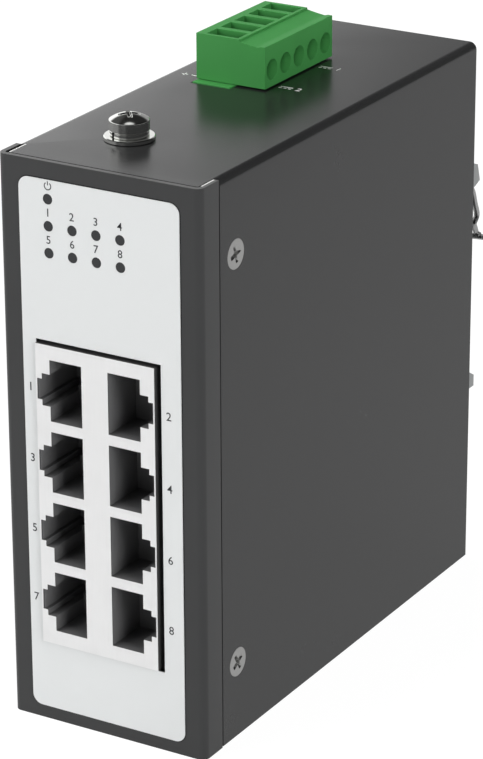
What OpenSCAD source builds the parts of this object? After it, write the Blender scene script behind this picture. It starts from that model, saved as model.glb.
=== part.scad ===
// Ethernet switch for a DIN rail: sheet housing, ganged port block, pluggable power terminal, rail clip.
// Every module draws in the housing's frame: x from its middle, y back from its front, z up from its base.

/* [Housing] */
// Width of the housing
body_w = 42.1; // [39:0.1:60]
// Depth of the housing
body_d = 104; // [94:1:140]
// Height of the housing
body_h = 110.1; // [100:0.1:150]
// Thickness of the folded sheets
sheet_t = 1; // [0.8:0.1:1.2]
// Outer radius of the folds
fold_r = 1.5; // [1.3:0.1:2]
// Depth of the front panel's side flanges
flange_d = 6.2; // [5:0.1:8]
// Gap at the seams between two sheets
seam_gap = 0.25; // [0.15:0.05:0.4]
// Gap between the left flange and the top plate
flange_gap = 0.75; // [0.4:0.05:1]
// Depth of the rear plate's flanges
rear_flange = 8; // [6:0.5:10]

/* [Label] */
// Thickness of the front label
label_t = 0.2; // [0.1:0.05:0.4]
// Width of the bare panel beside the label
label_side = 4.4; // [3:0.1:5]
// Height of the bare panel above and below the label
label_end = 3; // [2:0.1:4]
// Sideways shift of the label from the middle
label_shift = 0.16; // [-0.5:0.02:0.5]
// Downward shift of the label from the middle
label_drop = 0.34; // [-0.5:0.02:0.5]
// Corner radius of the label
label_r = 2; // [1:0.1:3]

/* [Indicators] */
// Diameter of an indicator's window
led_d = 2; // [1.6:0.1:2.6]
// Spacing of the indicator columns
led_pitch_x = 5; // [4.5:0.1:6]
// Spacing of the indicator rows
led_pitch_z = 5.05; // [4.5:0.05:6]
// Distance of the first column from the left side
led_side = 10.7; // [9:0.05:12]
// Distance of the power indicator below the top
led_top = 6.9; // [6:0.1:9]

/* [Ports] */
// Spacing of the port rows
port_pitch = 13.97; // [13.5:0.01:15]
// Number of port rows
port_rows = 4; // [1:1:4]
// Width of a port's main opening
port_w = 6.8; // [6.6:0.1:7.2]
// Height of a port's main opening
port_h = 11.9; // [11.7:0.1:12.2]
// Depth of a port's main cavity
port_d = 9.3; // [8.5:0.1:11]
// Depth of a port's latch channel
latch_d = 12.5; // [11.5:0.1:13]
// Height of the latch channel's first step
step1_h = 6.23; // [6:0.01:6.6]
// Width of the latch channel's first step
step1_w = 1.73; // [1.5:0.01:2]
// Height of the latch channel's second step
step2_h = 4.05; // [3.8:0.01:4.4]
// Width of the latch channel's second step
step2_w = 1; // [0.8:0.05:1]
// Half of the gap between the two port columns
column_gap = 2.78; // [2.5:0.02:3.2]
// Distance of the port block from the left side
jack_side = 7.5; // [7.2:0.01:8.2]
// Height of the port block's middle
jack_z = 46; // [44:0.05:60]
// How far the port block stands out of the panel
jack_proud = 0.7; // [0.3:0.1:1.5]
// Depth of the port block behind the panel's face
jack_d = 21; // [19:0.5:24]
// Margin of the block above and below the port rows
jack_margin = 2.75; // [2:0.05:4]
// Thickness of the port block's shield
shield_t = 0.22; // [0.15:0.01:0.24]
// Gap between the port block and the panel's window, across
window_gap_x = 0.64; // [0.6:0.01:0.8]
// Gap between the port block and the panel's window, up and down
window_gap_z = 0.5; // [0.4:0.01:0.8]
// Sideways shift of the window to the block
window_shift_x = 0.5; // [0.2:0.01:0.52]
// Upward shift of the window to the block
window_shift_z = 0.22; // [0:0.01:0.24]

/* [Screws] */
// Thread radius of the housing's screws
screw_r = 1.5; // [1.25:0.05:1.6]
// Head radius of the countersunk screws
flat_head_r = 2.85; // [2.7:0.05:3]
// Length of the side screws
side_screw_l = 4.6; // [4.4:0.1:4.8]
// Distance of the side screws behind the front face
side_screw_y = 11.8; // [11:0.1:13]
// Distance of the side screws from the top and the base
side_screw_z = 15.25; // [12:0.05:18]
// Distance of the earth screw from the left side
earth_side = 16.2; // [12:0.1:26]
// Distance of the earth screw behind the front face
earth_y = 18.3; // [14:0.1:30]
// Thread radius of the earth screw
earth_r = 2; // [1.8:0.1:2.2]
// Head radius of the earth screw
earth_head_r = 3.7; // [3.6:0.1:4.2]
// Head height of the earth screw
earth_head_h = 3.1; // [2.5:0.1:3.2]
// Radius of the earth screw's flat washer
washer_r = 4.7; // [4.4:0.1:5.2]
// Thickness of the flat washer
washer_t = 0.8; // [0.6:0.1:1]
// Thickness of the spring washer
spring_washer_t = 1; // [0.8:0.1:1.2]

/* [Power terminal] */
// Spacing of the terminal's poles
pole_pitch = 5.08; // [5:0.01:5.2]
// Number of poles
poles = 5; // [2:1:5]
// Distance of the terminal's middle from the housing's back
terminal_rear = 35.9; // [35.4:0.1:44]
// Width of the plug
plug_w = 14.96; // [14.7:0.02:15.4]
// Height of the plug above the housing at its flat top
plug_h = 8.9; // [8.6:0.1:9.5]
// Height of the plug at its screw side
plug_low_h = 8.1; // [7.8:0.1:8.3]
// Width of the plug's flat top
plug_flat_w = 9.5; // [9.4:0.1:9.8]
// Distance of the plug from the left side
plug_side = 7.7; // [7.55:0.05:7.85]
// Gap between the housing's top and the plug
plug_gap = 0.3; // [0.25:0.05:0.5]
// Length of the plug's tongue inside the header
tongue_l = 10; // [8:0.5:11]
// Radius of the holes over the clamp screws
driver_r = 2; // [1.95:0.05:2.1]
// Height of the clamp screws above the plug's base
clamp_z = 3.3; // [3.1:0.1:3.5]
// Width of a wire entry along the plug's width
entry_w = 6.8; // [6.4:0.1:7]
// Width of a wire entry along the plug's length
entry_l = 3.7; // [3.4:0.1:3.8]
// Thread radius of the clamp screws
clamp_r = 1.25; // [1.1:0.05:1.4]

/* [Rail clip] */
// Width of the rail clip
clip_w = 35; // [33:0.5:36]
// Sheet thickness of the rail clip
clip_t = 1.2; // [1:0.1:1.5]
// How far the clip stands behind the housing
clip_d = 9.85; // [9:0.05:11]
// Height of the clip's lower edge
clip_low = 34.1; // [30:0.1:40]
// Height of the clip's upper edge
clip_high = 82.8; // [80:0.1:90]
// Distance from the housing's back to the front of the rail
rail_seat = 5.4; // [4.5:0.1:5.6]
// Wire diameter of the clip's spring
spring_d = 1.2; // [1:0.1:1.5]

/* [Board] */
// Thickness of the circuit boards
board_t = 1.6; // [1:0.1:1.6]
// Distance of the main board's front edge behind the front face
board_front = 2.4; // [2:0.1:3.5]
// Distance of the main board's lower edge from the base
board_low = 4; // [3:0.5:6]
// Distance of the main board's rear edge from the housing's back
board_rear = 8; // [5:0.5:12]
// Radius of the board's standoffs
standoff_r = 2.8; // [2.6:0.1:3.2]
// Thickness of the insulating sheet
film_t = 0.25; // [0.15:0.05:0.4]

/* [Hidden] */
$fn = 64;

eps = 0.01;                                  // cutters reach this far past a face
fit = 0.02;                                  // radial room of a screw in its thread
slip = 0.1;                                  // room between sheets that slide past each other
hole_room = 0.15;                            // radial room of a screw in a plain hole

// The origin lies under the middle of the whole part, from the port block's face to the rail clip.
front_y = -(body_d + clip_d - jack_proud) / 2;

half_w = body_w / 2;
inner_w = half_w - sheet_t;                  // inner face of the cover's sides
rail_w = inner_w - sheet_t;                  // inner face of the side rails
rail_d = 18.5;                               // rear edge of the side rails
rail_start = sheet_t + fold_r;               // front edge of the side rails
rail_end = 6;                                // side rails stop this far from the top and the base
cover_low = 0.2;                             // the cover's sides end just above the base
cover_y = flange_d + seam_gap;

flat_head_h = flat_head_r - screw_r;         // a 90 degree head
nut_r = 3;
nut_h = 1.5;
recess_w = 3;                                // span of a cross recess on a small head
recess_t = 0.6;
recess_d = 1;

side_screw_heights = [side_screw_z, body_h - side_screw_z];
earth_x = earth_side - half_w;

// Port block, seen from its own middle
column_reach = column_gap + port_w + step1_w + step2_w;
latch_wall = 0.25;                           // closes each latch channel's outer side
shield_room = 0.03;
jack_half = column_reach + shield_room + shield_t;
jack_half_z = (port_rows - 1) * port_pitch / 2 + port_h / 2 + jack_margin;
jack_x = jack_side + jack_half - half_w;
jack_front = -jack_proud;
shield_lip = board_front - 0.4;              // rear edge of the shield's fold on the board side
contacts = 8;
contact_pitch = 1.02;
contact_t = 0.35;
contact_start = 4.5;
contact_sunk = 0.5;                          // a contact's middle lies this far inside its wall
contact_slot = 0.55;
contact_rear = [15, 18];                     // where each column's contacts turn to the board
peg_r = 1.6;
peg_y = 6;
peg_inset = 2.9;                             // the pegs' distance from the block's ends
window_w = 2 * (jack_half + window_gap_x);
window_h = 2 * (jack_half_z + window_gap_z);
port_heights = [for (n = [0 : port_rows - 1]) jack_z + (n - (port_rows - 1) / 2) * port_pitch];

// Main board: its right face carries the parts
board_x = jack_x - jack_half - 0.22;
board_high = body_h - 6;
board_y_end = body_d - board_rear;
wall_x = -inner_w + slip + sheet_t;          // inner face of the chassis wall
standoff_l = board_x - board_t - wall_x;
tail_l = standoff_l - 1.5;                   // pins stand out of the board's back
wall_y = rail_d + 2.5;
wall_y_end = body_d - rear_flange - 3;
standoff_places = [for (y = [wall_y + 6, wall_y_end - 6], z = [board_low + 6, board_high - 6]) [y, z]];

// Indicators
led_x = led_side - half_w;
led_places = concat(
    [[led_x, body_h - led_top]],
    [for (row = [1, 2], col = [0 : 3]) [led_x + col * led_pitch_x, body_h - led_top - row * led_pitch_z]]
);
led_tip_r = led_d / 2 - 0.05;
led_margin = 2.4;                            // room round the outer indicators on their board
led_board_x = led_x - led_margin;
led_board_w = 3 * led_pitch_x + 2 * led_margin;
led_board_z = body_h - led_top - 2 * led_pitch_z - led_margin;
led_board_h = 2 * led_pitch_z + 2 * led_margin;
led_board_y = sheet_t + 3;
led_board_t = 1.2;
led_chip = [1.6, 0.8, 0.8];
guide_y = sheet_t + 0.3;
guide_t = 1;
guide_leg_r = 0.6;
header_pitch = 2.54;
led_pins = 5;
led_pin_t = 0.64;
led_pin_y = led_board_y + led_board_t + 4;   // where the pins turn to the main board
led_pin_x = board_x + 2;

// Power terminal
terminal_y = body_d - terminal_rear;
plug_x = plug_side - half_w;
plug_z = body_h + plug_gap;
plug_l = poles * pole_pitch + 0.2;
plug_y = terminal_y - plug_l / 2;
pole_places = [for (n = [0 : poles - 1]) terminal_y + (n - (poles - 1) / 2) * pole_pitch];
header_x = plug_x + 0.2;
header_w = 8.2;
header_wall = 0.85;
header_end = 1.85;                           // the header reaches this far past the plug's ends
header_z = body_h + 0.2;
header_floor = header_z - tongue_l - 0.4;
header_base = header_floor - 1.7;
header_gap = 0.25;                           // room round the header in the top plate
tongue_room = 0.2;
tongue_end = 0.5;                            // the tongue is this much shorter than the plug at each end
pin_t = 1;
pin_x = plug_x + 5;
pin_high = header_z - 1.6;
pin_turn = header_base - 1.8;
contact_wall = 0.4;                          // sheet of the plug's contacts
contact_grip = pin_t / 2 + 0.05;
contact_low = plug_z - tongue_l + 0.8;
bar_t = 0.6;
bar_half = 1.3;
cavity_z = plug_z + 0.7;                     // floor of the clamp cavities
cage_low = cavity_z + 0.2;
cage_h = 4.6;
cage_x = plug_x + 1.4;
cage_w = 6.4;
cage_half = 1.95;
cage_wall = 0.5;
cage_left = 0.7;
cage_nut = 1;
cage_travel = 2.2;
cavity_room = 0.1;
clamp_head_r = driver_r - 0.15;
clamp_head_h = 1.8;
clamp_face = plug_x + plug_w - 2.2;          // the clamp screws lie this deep in their holes
clamp_height = plug_z + clamp_z;
lip_r = driver_r - 0.55;                     // the lip that keeps a clamp screw in its hole
lip_x = clamp_face + 0.3;
mouth_d = 1.2;                               // depth of the funnel round the screwdriver's way in
mouth_x = plug_x + plug_w - mouth_d;
entry_x = plug_x + 1.9;

// Parts on the main board: places are back from the front face and up, sizes are along y, along z and out
lead_pitch = 1.27;
magnetics_step = 12;
magnetics_y = jack_d + magnetics_step;
magnetics_size = [12.7, 7.1, 5.4];
chip_y = 58;
chip_z = jack_z;
chip_w = 14;
chip_h = 1.4;
chip_leads = 16;
chip_lead_pitch = 0.8;
pad_t = 0.3;
sink_base = 2;
fins = 6;
fin_t = 1;
fin_h = 6;
side_step = 18;
side_y = chip_y + side_step;                 // a second column of parts behind the chip
small_chip = [5, 4, 1.6];
small_leads = 4;
crystal_size = [5, 3.2, 1];
crystal_drop = 15;
crystal_z = chip_z - crystal_drop;
fuse_drop = 9;
fuse_z = pin_turn - fuse_drop;               // the row of input parts below the terminal
fuse_shift = 9;
fuse_size = [7.4, 5, 2.6];
diode_pitch = 8;
diode_size = [4.5, 3.6, 2.2];
power_drop = 17;
power_z = fuse_z - power_drop;
coil_w = 12;
coil_h = 6;
coil_r = 2;
can_step = 13;
can_y = chip_y - can_step;
can_pitch = 11;
can_r = 4;
can_h = 10;
can_foot = 8.3;
can_foot_h = 1;

// Rail clip, from the housing's back
hook_in = rail_seat + 1.2;                   // inner face of the hooks
bail_x = clip_w / 2 + 1.05;                   // the spring's legs, outside the ears
bail_pivot = [3.4, clip_high - 3.8];
bail_hole_r = spring_d / 2 + 0.05;
clip_hole_x = 9;
clip_hole_z = [12, 36];                      // above the clip's lower edge
clip_holes = [for (s = [-1, 1], z = clip_hole_z) [s * clip_hole_x, clip_low + z]];
clip_screw_l = clip_t + sheet_t + nut_h + 0.3;
rear_screw_x = 10;
rear_screw_z = 8;
rear_screw_places = [for (s = [-1, 1]) [s * rear_screw_x, rear_screw_z]];
lip_y = body_d - sheet_t - slip;             // rear face of the chassis lip
lip_half = 14;
lip_h = 14;
ear_y = side_screw_y - 4.5;
ear_l = 9;
ear_h = side_screw_z + 5;
leg = 5;                                     // length of the flat leg of a fold
relief = 0.5;                                // gap cut beside a fold

module in_place() {
    translate([0, front_y, 0]) children();
}

// A rectangle from y = 0 to y = h, centred in x, with its two far corners rounded.
module round_top(w, h, r) {
    translate([-w / 2, 0]) square([w, h - r]);
    translate([r - w / 2, 0]) square([w - 2 * r, h]);
    for (s = [-1, 1]) translate([s * (w / 2 - r), h - r]) circle(r);
}

// A rectangle centred on the origin, with four round corners.
module round_rect(w, h, r) {
    square([w, h - 2 * r], center = true);
    square([w - 2 * r, h], center = true);
    for (s = [-1, 1], t = [-1, 1]) translate([s * (w / 2 - r), t * (h / 2 - r)]) circle(r);
}

// The section of a sheet folded into a channel, w wide and h deep, whose open side is at y = 0.
module channel(w, h, t, r) {
    difference() {
        round_top(w, h, r);
        translate([0, -eps]) round_top(w - 2 * t, h - t + eps, r - t);
    }
}

// The section of a folded angle: its outer corner at the origin, one leg along x and one along y.
module angle(a, b) {
    difference() {
        union() {
            translate([fold_r, 0]) square([a - fold_r, b]);
            translate([0, fold_r]) square([a, b - fold_r]);
            translate([fold_r, fold_r]) circle(fold_r);
        }
        translate([fold_r, sheet_t]) square([a, b]);
        translate([sheet_t, fold_r]) square([a, b]);
        translate([fold_r, fold_r]) circle(fold_r - sheet_t);
    }
}

// Extrudes a section drawn in x and z along y, from y0 to y1.
module along_y(y0, y1) {
    translate([0, y1, 0]) rotate([90, 0, 0]) linear_extrude(y1 - y0) children();
}

// Extrudes a section drawn in y and z along x, from x0 to x1.
module along_x(x0, x1) {
    translate([x0, 0, 0]) rotate([90, 0, 90]) linear_extrude(x1 - x0) children();
}

// A box given by its low and high corners.
module block(low, high) {
    translate(low) cube(high - low);
}

module cross_recess(span, width, depth) {
    for (a = [0, 90]) rotate(a) translate([-span / 2, -width / 2, -depth]) cube([span, width, depth + eps]);
}

// A countersunk screw whose flat face lies at z = 0 and whose tip points down.
module flat_screw(length) {
    tip = 0.4;
    difference() {
        union() {
            translate([0, 0, -flat_head_h]) cylinder(h = flat_head_h, r1 = screw_r, r2 = flat_head_r);
            translate([0, 0, tip - length]) cylinder(h = length - tip - flat_head_h + eps, r = screw_r);
            translate([0, 0, -length]) cylinder(h = tip, r1 = screw_r - tip, r2 = screw_r);
        }
        cross_recess(recess_w, recess_t, recess_d);
    }
}

// The hole for it: the head's cone, and a plain hole below.
module flat_hole(depth) {
    translate([0, 0, -flat_head_h]) cylinder(h = flat_head_h, r1 = screw_r + fit, r2 = flat_head_r + fit);
    translate([0, 0, -eps]) cylinder(h = 1, r = flat_head_r + fit);
    translate([0, 0, -depth]) cylinder(h = depth - flat_head_h / 2, r = screw_r + hole_room);
}

// A press nut that sits on z = 0 and stands down.
module press_nut() {
    difference() {
        translate([0, 0, -nut_h]) cylinder(h = nut_h, r = nut_r);
        translate([0, 0, -nut_h - 1]) cylinder(h = nut_h + 2, r = screw_r + fit);
    }
}

// Puts what it is given on each side screw, with +z pointing out of the housing and z = 0 on its side.
module at_side_screws() {
    for (s = [-1, 1], z = side_screw_heights)
        translate([s * half_w, side_screw_y, z]) rotate([0, s * 90, 0]) children();
}

// The same on the screws of the back, with z = 0 on the rear plate's outer face.
module at_back(places, y) {
    for (p = places) translate([p[0], y, p[1]]) rotate([-90, 0, 0]) children();
}

module window_cut() {
    translate([jack_x + window_shift_x - window_w / 2, -1, jack_z + window_shift_z - window_h / 2])
        cube([window_w, sheet_t + 2, window_h]);
}

module led_cuts() {
    for (p = led_places) translate([p[0], -1, p[1]]) rotate([-90, 0, 0])
        cylinder(h = sheet_t + 2, r = led_d / 2);
}

module front_panel() {
    color("#4a4b4d") in_place() difference() {
        linear_extrude(body_h) translate([0, flange_d]) mirror([0, 1])
            channel(body_w, flange_d, sheet_t, fold_r);
        window_cut();
        led_cuts();
    }
}

module front_label() {
    color("#e2e4e4") in_place() difference() {
        translate([label_shift, 0, body_h / 2 - label_drop]) rotate([90, 0, 0]) linear_extrude(label_t)
            round_rect(body_w - 2 * label_side, body_h - 2 * label_end, label_r);
        window_cut();
        led_cuts();
    }
}

module terminal_cut() {
    header_cut_l = plug_l + 2 * (header_end + header_gap);
    translate([header_x - header_gap, terminal_y - header_cut_l / 2, body_h - sheet_t - 1])
        cube([header_w + 2 * header_gap, header_cut_l, sheet_t + 2]);
}

module cover() {
    color("#4e5052") in_place() difference() {
        union() {
            translate([0, 0, cover_low]) along_y(cover_y, body_d)
                channel(body_w, body_h - cover_low, sheet_t, fold_r);
            block([flange_gap - inner_w, sheet_t + seam_gap, body_h - sheet_t],
                [inner_w - seam_gap, cover_y + eps, body_h]);
        }
        at_side_screws() flat_hole(fold_r + sheet_t);
        translate([earth_x, earth_y, body_h - sheet_t - 1])
            cylinder(h = sheet_t + 2, r = earth_r + hole_room);
        terminal_cut();
    }
}

module side_rails() {
    color("#7d8083") in_place() difference() {
        for (s = [-1, 1])
            translate([s * (inner_w + rail_w) / 2 - sheet_t / 2, rail_start, rail_end])
                cube([sheet_t, rail_d - rail_start, body_h - 2 * rail_end]);
        at_side_screws() flat_hole(2 * sheet_t + 1);
    }
}

module rear_plate() {
    color("#4e5052") in_place() difference() {
        translate([0, body_d - rear_flange, cover_low]) linear_extrude(body_h - fold_r - slip - cover_low)
            channel(2 * inner_w, rear_flange, sheet_t, fold_r);
        at_back(rear_screw_places, body_d) flat_hole(sheet_t + 1);
        at_back(clip_holes, body_d) translate([0, 0, -sheet_t - 1])
            cylinder(h = sheet_t + 2, r = screw_r + hole_room);
    }
}

module chassis() {
    plate_half = inner_w - slip;
    plate_start = sheet_t + seam_gap;
    wall_h = board_high;
    far = body_w;
    color("#9da1a4") in_place() difference() {
        union() {
            difference() {
                block([-plate_half, plate_start, 0], [plate_half, lip_y, sheet_t]);
                // room for the folds of the wall, the ears and the lip, and for the rear plate's flanges
                block([-far, wall_y - relief, -1], [leg - 1 - plate_half, wall_y_end + relief, far]);
                for (s = [0, 1]) mirror([s, 0, 0])
                    block([rail_w - leg + 1, ear_y - relief, -1], [far, ear_y + ear_l + relief, far]);
                for (s = [0, 1]) mirror([s, 0, 0])
                    block([rail_w - slip, body_d - rear_flange - slip, -1], [far, body_d, far]);
                block([-lip_half - relief, lip_y - leg + 1, -1], [lip_half + relief, body_d, far]);
            }
            along_y(wall_y, wall_y_end) translate([-plate_half, 0]) angle(leg, wall_h);
            for (s = [0, 1]) mirror([s, 0, 0])
                along_y(ear_y, ear_y + ear_l) translate([-rail_w, 0]) angle(leg, ear_h);
            along_x(-lip_half, lip_half) translate([lip_y, 0]) mirror([1, 0]) angle(leg, lip_h);
        }
        at_side_screws() flat_hole(3 * sheet_t + 1);
        at_back(rear_screw_places, body_d) flat_hole(2 * sheet_t + 1);
    }
}

module side_screws() {
    color("#b9bbbc") in_place() at_side_screws() flat_screw(side_screw_l);
}

module press_nuts() {
    color("#c8cacb") in_place() {
        for (s = [-1, 1], n = [0, 1])
            translate([s * (rail_w - sheet_t * (1 - n)), side_screw_y, side_screw_heights[n]])
                rotate([0, s * 90, 0]) press_nut();
        at_back(rear_screw_places, lip_y - sheet_t) press_nut();
        at_back(clip_holes, body_d - sheet_t) press_nut();
    }
}

module rear_screws() {
    color("#b9bbbc") in_place() at_back(rear_screw_places, body_d) flat_screw(side_screw_l);
}

module ground_screw() {
    head_z = body_h + washer_t + spring_washer_t;
    dome_r = 6.5;
    shank_l = 7;
    color("#c9cacb") in_place() translate([earth_x, earth_y, head_z]) difference() {
        union() {
            rotate_extrude() intersection() {
                square([earth_head_r, earth_head_h]);
                translate([0, earth_head_h - dome_r]) circle(dome_r);
            }
            translate([0, 0, -shank_l]) cylinder(h = shank_l + eps, r = earth_r);
        }
        translate([0, 0, earth_head_h]) cross_recess(earth_head_r, 0.9, 1.7);
    }
}

module ground_spring_washer() {
    color("#aeb0b1") in_place() translate([earth_x, earth_y, body_h + washer_t]) difference() {
        cylinder(h = spring_washer_t, r = earth_head_r - 0.2);
        translate([0, 0, -1]) cylinder(h = spring_washer_t + 2, r = earth_r + fit);
        rotate(-60) translate([0, -0.3, -1]) cube([earth_head_r, 0.6, spring_washer_t + 2]);
    }
}

module ground_flat_washer() {
    color("#c9cacb") in_place() translate([earth_x, earth_y, body_h]) difference() {
        cylinder(h = washer_t, r = washer_r);
        translate([0, 0, -1]) cylinder(h = washer_t + 2, r = earth_r + hole_room);
    }
}

module ground_nut() {
    ground_nut_r = 3.6;
    ground_nut_h = 3;
    color("#c8cacb") in_place() translate([earth_x, earth_y, body_h - sheet_t - ground_nut_h]) difference() {
        cylinder(h = ground_nut_h, r = ground_nut_r, $fn = 6);
        translate([0, 0, -1]) cylinder(h = ground_nut_h + 2, r = earth_r + fit);
    }
}

// The outline of the clip's ears, seen from the side: back from the housing, and up.
module ear_outline() {
    low_reach = clip_d - 0.8;
    slot = 1.9;
    hook_low = clip_high - 5.4;
    polygon([
        [0, clip_low], [low_reach, clip_low], [low_reach, clip_low + 2.4], [hook_in, clip_low + 3.85],
        [hook_in, clip_low + slot], [rail_seat, clip_low + slot],
        [rail_seat, clip_high - 2.3], [hook_in, clip_high - 2.3], [hook_in, hook_low],
        [clip_d - 1.9, hook_low + 0.35], [clip_d, hook_low + 1.05], [clip_d - 1.05, clip_high - 0.75],
        [hook_in, clip_high], [0, clip_high]
    ]);
}

module din_plate() {
    bend_r = clip_t + 0.5;
    color("#b4b8b8") in_place() translate([0, body_d, 0]) difference() {
        intersection() {
            translate([0, clip_d, 0]) mirror([0, 1, 0]) linear_extrude(body_h)
                channel(clip_w, clip_d, clip_t, bend_r);
            along_x(-clip_w, clip_w) ear_outline();
        }
        at_back(clip_holes, clip_t) flat_hole(clip_t + 1);
        translate([-clip_w, bail_pivot[0], bail_pivot[1]]) rotate([0, 90, 0])
            cylinder(h = 2 * clip_w, r = bail_hole_r);
    }
}

module din_screws() {
    color("#b9bbbc") in_place() at_back(clip_holes, body_d + clip_t) flat_screw(clip_screw_l);
}

// A tube round a path: the normal of each ring is the last one's, turned as little as the path turns.
function unit(v) = v / norm(v);
function tangents(p) = [for (i = [0 : len(p) - 1]) unit(p[min(i + 1, len(p) - 1)] - p[max(i - 1, 0)])];
function normals(t, n, i = 0) =
    i == len(t) ? [] : let (m = unit(n - (n * t[i]) * t[i])) concat([m], normals(t, m, i + 1));
module tube(path, r, sides, normal) {
    t = tangents(path);
    n = normals(t, normal);
    last = len(path) - 1;
    points = [for (i = [0 : last], j = [0 : sides - 1]) let (a = 360 * j / sides)
        path[i] + r * (cos(a) * n[i] + sin(a) * cross(t[i], n[i]))];
    walls = [for (i = [0 : last - 1], j = [0 : sides - 1]) let (k = (j + 1) % sides)
        [i * sides + j, (i + 1) * sides + j, (i + 1) * sides + k, i * sides + k]];
    ends = [[for (j = [0 : sides - 1]) j], [for (j = [sides - 1 : -1 : 0]) last * sides + j]];
    polyhedron(points, concat(walls, ends));
}

// A smooth curve through the points of p, with n steps in each span.
function curve(p, n) = concat([for (i = [0 : len(p) - 2], k = [0 : n - 1]) let (
    u = k / n, a = p[max(i - 1, 0)], b = p[i], c = p[i + 1], d = p[min(i + 2, len(p) - 1)])
    b + u * (c - a) / 2 + u * u * (a - 2.5 * b + 2 * c - d / 2)
        + u * u * u * (1.5 * b - 1.5 * c + d / 2 - a / 2)
], [p[len(p) - 1]]);

// One leg of the spring, seen from the side, from its pivot in the ear down to the bar behind the rail.
bail_leg = [
    [0.5, -0.5], [1.4, -1.8], [2.2, -4], [3.2, -6.2], [3.2, -7.2], [2.1, -8.4], [2.7, -9.6], [2.9, -10.6]
];

module din_spring() {
    turn = 1.3;
    bar_z = bail_leg[len(bail_leg) - 1];
    ear_out = clip_w / 2;
    in_ear = [ear_out - clip_t - 0.4, ear_out - clip_t, ear_out + 0.25];
    half = concat(
        [for (x = in_ear) [x, 0, 0], [bail_x - 0.2, 0.1, -0.1]],
        [for (p = bail_leg) [bail_x, p[0], p[1]]],
        [[bail_x - turn, bar_z[0], bar_z[1] - 0.8]]
    );
    whole = concat(half, [for (i = [len(half) - 1 : -1 : 0]) [-half[i][0], half[i][1], half[i][2]]]);
    color("#c4c7c8") in_place() translate([0, body_d + bail_pivot[0], bail_pivot[1]])
        tube(curve(whole, 3), spring_d / 2, 8, [0, 1, 0]);
}

module insulating_sheet() {
    edge = 1.5;
    color("#e8dfc0") in_place() difference() {
        block([wall_x, wall_y + edge, board_low], [wall_x + film_t, wall_y_end - edge, board_high - edge]);
        at_standoffs(wall_x - 1) cylinder(h = film_t + 2, r = standoff_r + hole_room);
    }
}

// Puts what it is given on each standoff's axis, with +z pointing away from the chassis wall.
module at_standoffs(x) {
    for (p = standoff_places) translate([x, p[0], p[1]]) rotate([0, 90, 0]) children();
}

module board_standoffs() {
    color("#c8cacb") in_place() at_standoffs(wall_x) difference() {
        cylinder(h = standoff_l, r = standoff_r, $fn = 6);
        translate([0, 0, -1]) cylinder(h = standoff_l + 2, r = screw_r + fit);
    }
}

module board_screws() {
    head_r = 2.7;
    head_h = 1.8;
    color("#b9bbbc") in_place() at_standoffs(board_x) difference() {
        union() {
            cylinder(h = head_h, r = head_r);
            translate([0, 0, -board_t - standoff_l + slip]) cylinder(h = board_t + standoff_l, r = screw_r);
        }
        translate([0, 0, head_h]) cross_recess(recess_w, recess_t, recess_d);
    }
}

// Puts what it is given at a place on the main board, with +z pointing away from its right face.
module on_board(y, z) {
    translate([board_x, y, z]) rotate([90, 0, 90]) children();
}

module main_board() {
    hole_r = 0.3;
    color("#2f6b45") in_place() difference() {
        block([board_x - board_t, board_front, board_low], [board_x, board_y_end, board_high]);
        at_standoffs(board_x - board_t - 1) cylinder(h = board_t + 2, r = screw_r + hole_room);
        for (z = port_heights, i = [0 : contacts - 1], y = contact_rear)
            through_board(y, z + contact_offset(i), hole_r);
        for (y = pole_places) through_board(y, pin_turn, pin_t * 0.75);
        for (n = [0 : led_pins - 1]) through_board(led_pin_y, led_pin_z(n), led_pin_t * 0.75);
        for (s = [-1, 1]) through_board(peg_y, jack_z + s * (jack_half_z - peg_inset), peg_r + hole_room);
    }
}

module through_board(y, z, r) {
    translate([board_x - board_t - 1, y, z]) rotate([0, 90, 0]) cylinder(h = board_t + 2, r = r, $fn = 24);
}

function contact_offset(i) = (i - (contacts - 1) / 2) * contact_pitch;
function led_pin_z(n) = led_board_z + led_board_h / 2 + (n - (led_pins - 1) / 2) * header_pitch;

// The opening of one port: s is -1 for the left column and 1 for the right one, whose latches face outward.
module port_cut(s, y0, main_depth, latch_depth, reach) {
    x = [column_gap, column_gap + port_w, column_gap + port_w + step1_w, reach];
    mirror([s < 0 ? 1 : 0, 0, 0]) {
        block([x[0], y0, -port_h / 2], [x[1], main_depth, port_h / 2]);
        block([x[1] - eps, y0, -step1_h / 2], [x[2], latch_depth, step1_h / 2]);
        block([x[2] - eps, y0, -step2_h / 2], [x[3], latch_depth, step2_h / 2]);
        block([x[0] + port_w / 2, y0, -step2_h / 2], [x[1], latch_depth, step2_h / 2]);
    }
}

module at_ports() {
    for (z = port_heights, s = [-1, 1]) translate([jack_x, 0, z]) {
        $side = s;
        children();
    }
}

module jack_shield() {
    inner = jack_half - shield_t;
    inner_z = jack_half_z - shield_t;
    far = jack_half + 2;
    color("#d9dadb") in_place() difference() {
        translate([jack_x, 0, jack_z]) difference() {
            block([-jack_half, jack_front, -jack_half_z], [jack_half, jack_d, jack_half_z]);
            block([-inner, jack_front + shield_t, -inner_z], [inner, jack_d - shield_t, inner_z]);
            block([-far, shield_lip, -inner_z], [0, jack_d - shield_t, inner_z]);
            block([-far, shield_lip, -far * 3], [-inner - eps, jack_d + 1, far * 3]);
        }
        at_ports() port_cut($side, jack_front - 1, 0, 0, column_reach);
    }
}

// The path of one contact in its column, seen from above: along its wall, then across to the board.
module contact_path(s, w, reach) {
    x = s * (column_gap - contact_sunk);
    rear = contact_rear[(s + 1) / 2];
    translate([x - w / 2, contact_start - (w - contact_t) / 2])
        square([w, rear - contact_start + w - contact_t / 2]);
    translate([-reach, rear - w / 2]) square([reach + x + w / 2, w]);
}

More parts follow.
